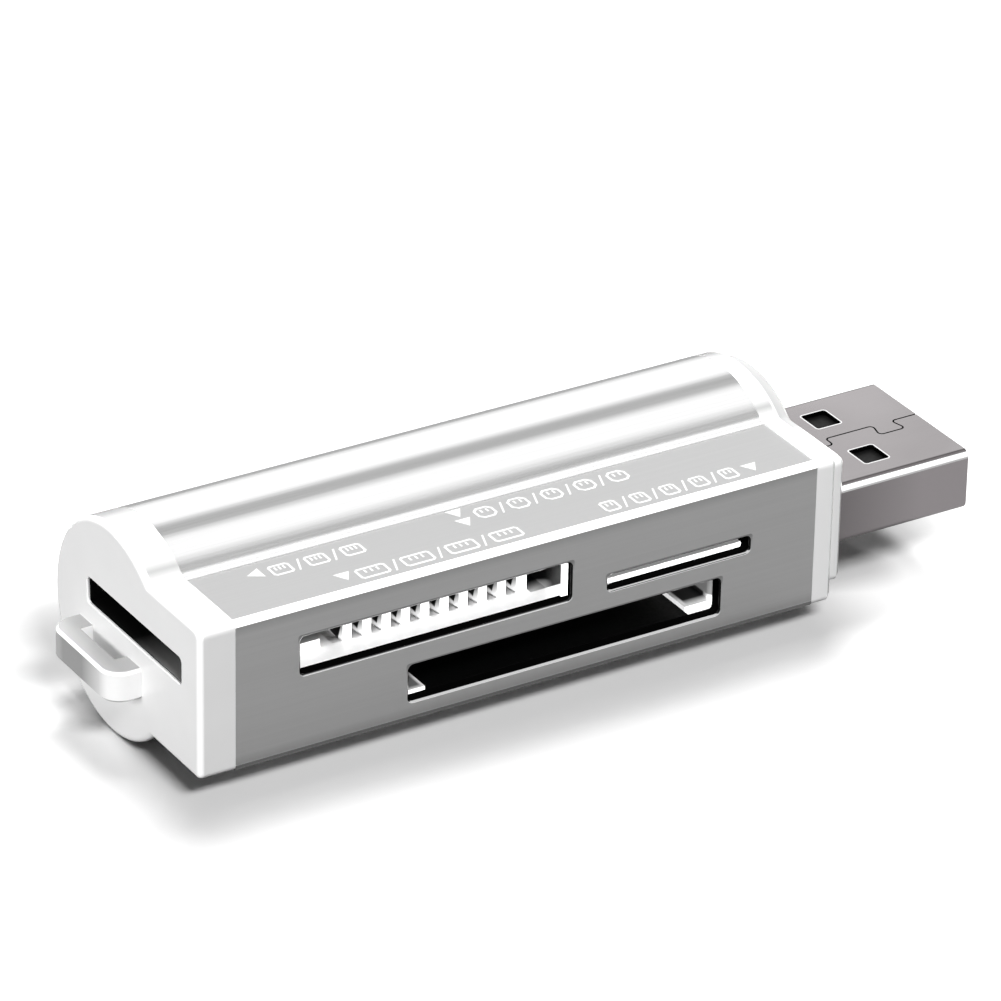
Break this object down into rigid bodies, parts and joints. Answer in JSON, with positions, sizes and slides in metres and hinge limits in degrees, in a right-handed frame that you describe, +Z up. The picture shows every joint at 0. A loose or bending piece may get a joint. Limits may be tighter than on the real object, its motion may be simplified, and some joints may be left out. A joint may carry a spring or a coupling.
{
  "type": "usb memory card reader",
  "caption": "Stick-shaped memory card reader: aluminium sleeve with card mouths, white end caps, a key-ring lug and a flat USB plug.",
  "frame": {"origin": "under the middle of the whole reader, lug and plug included, level with the lowest line of the round barrel", "axes": "+X along the body towards the plug, -Y out of the front with the long card mouths, +Z up"},
  "size_m": [0.0636, 0.0198, 0.0154],
  "materials": {
    "satin_aluminium": "satin anodised",
    "white_cap": "smooth moulded",
    "plug_steel": "plated sheet",
    "black_insulator": "fine matt",
    "black_board": "black lacquered laminate",
    "black_package": "moulded package",
    "bright_can": "plated can",
    "ceramic_tan": "fired ceramic",
    "white_socket": "moulded",
    "cover_steel": "blackened sheet",
    "guide_steel": "bright sheet",
    "gilt_contact": "gilt"
  },
  "bodies": {
    "root": {"sleeve": "satin_aluminium", "rear_cap": "white_cap", "plug_cap": "white_cap", "plug_shell": "plug_steel", "plug_insulator": "black_insulator", "circuit_board": "black_board", "controller_chip": "black_package", "clock_crystal": "bright_can", "board_capacitors": "ceramic_tan", "board_resistors": "black_package", "stick_socket": "white_socket", "micro_socket": "white_socket", "wide_socket": "black_insulator", "end_socket": "black_insulator", "stick_cover": "cover_steel", "micro_cover": "cover_steel", "wide_guide_rear": "guide_steel", "wide_guide_plug": "guide_steel", "plug_contact_1": "gilt_contact", "plug_contact_2": "gilt_contact", "plug_contact_3": "gilt_contact", "plug_contact_4": "gilt_contact", "stick_contact_1": "gilt_contact", "stick_contact_2": "gilt_contact", "stick_contact_3": "gilt_contact", "stick_contact_4": "gilt_contact", "stick_contact_5": "gilt_contact", "stick_contact_6": "gilt_contact", "stick_contact_7": "gilt_contact", "stick_contact_8": "gilt_contact", "stick_contact_9": "gilt_contact", "stick_contact_10": "gilt_contact", "wide_contact_1": "gilt_contact", "wide_contact_2": "gilt_contact", "wide_contact_3": "gilt_contact", "wide_contact_4": "gilt_contact", "wide_contact_5": "gilt_contact", "wide_contact_6": "gilt_contact", "wide_contact_7": "gilt_contact", "wide_contact_8": "gilt_contact", "wide_contact_9": "gilt_contact", "micro_contact_1": "gilt_contact", "micro_contact_2": "gilt_contact", "micro_contact_3": "gilt_contact", "micro_contact_4": "gilt_contact", "micro_contact_5": "gilt_contact", "micro_contact_6": "gilt_contact", "micro_contact_7": "gilt_contact", "micro_contact_8": "gilt_contact", "end_contact_1": "gilt_contact", "end_contact_2": "gilt_contact", "end_contact_3": "gilt_contact", "end_contact_4": "gilt_contact", "end_contact_5": "gilt_contact", "end_contact_6": "gilt_contact", "end_contact_7": "gilt_contact", "end_contact_8": "gilt_contact", "end_contact_9": "gilt_contact", "end_contact_10": "gilt_contact", "end_contact_11": "gilt_contact"}
  },
  "joints": []
}
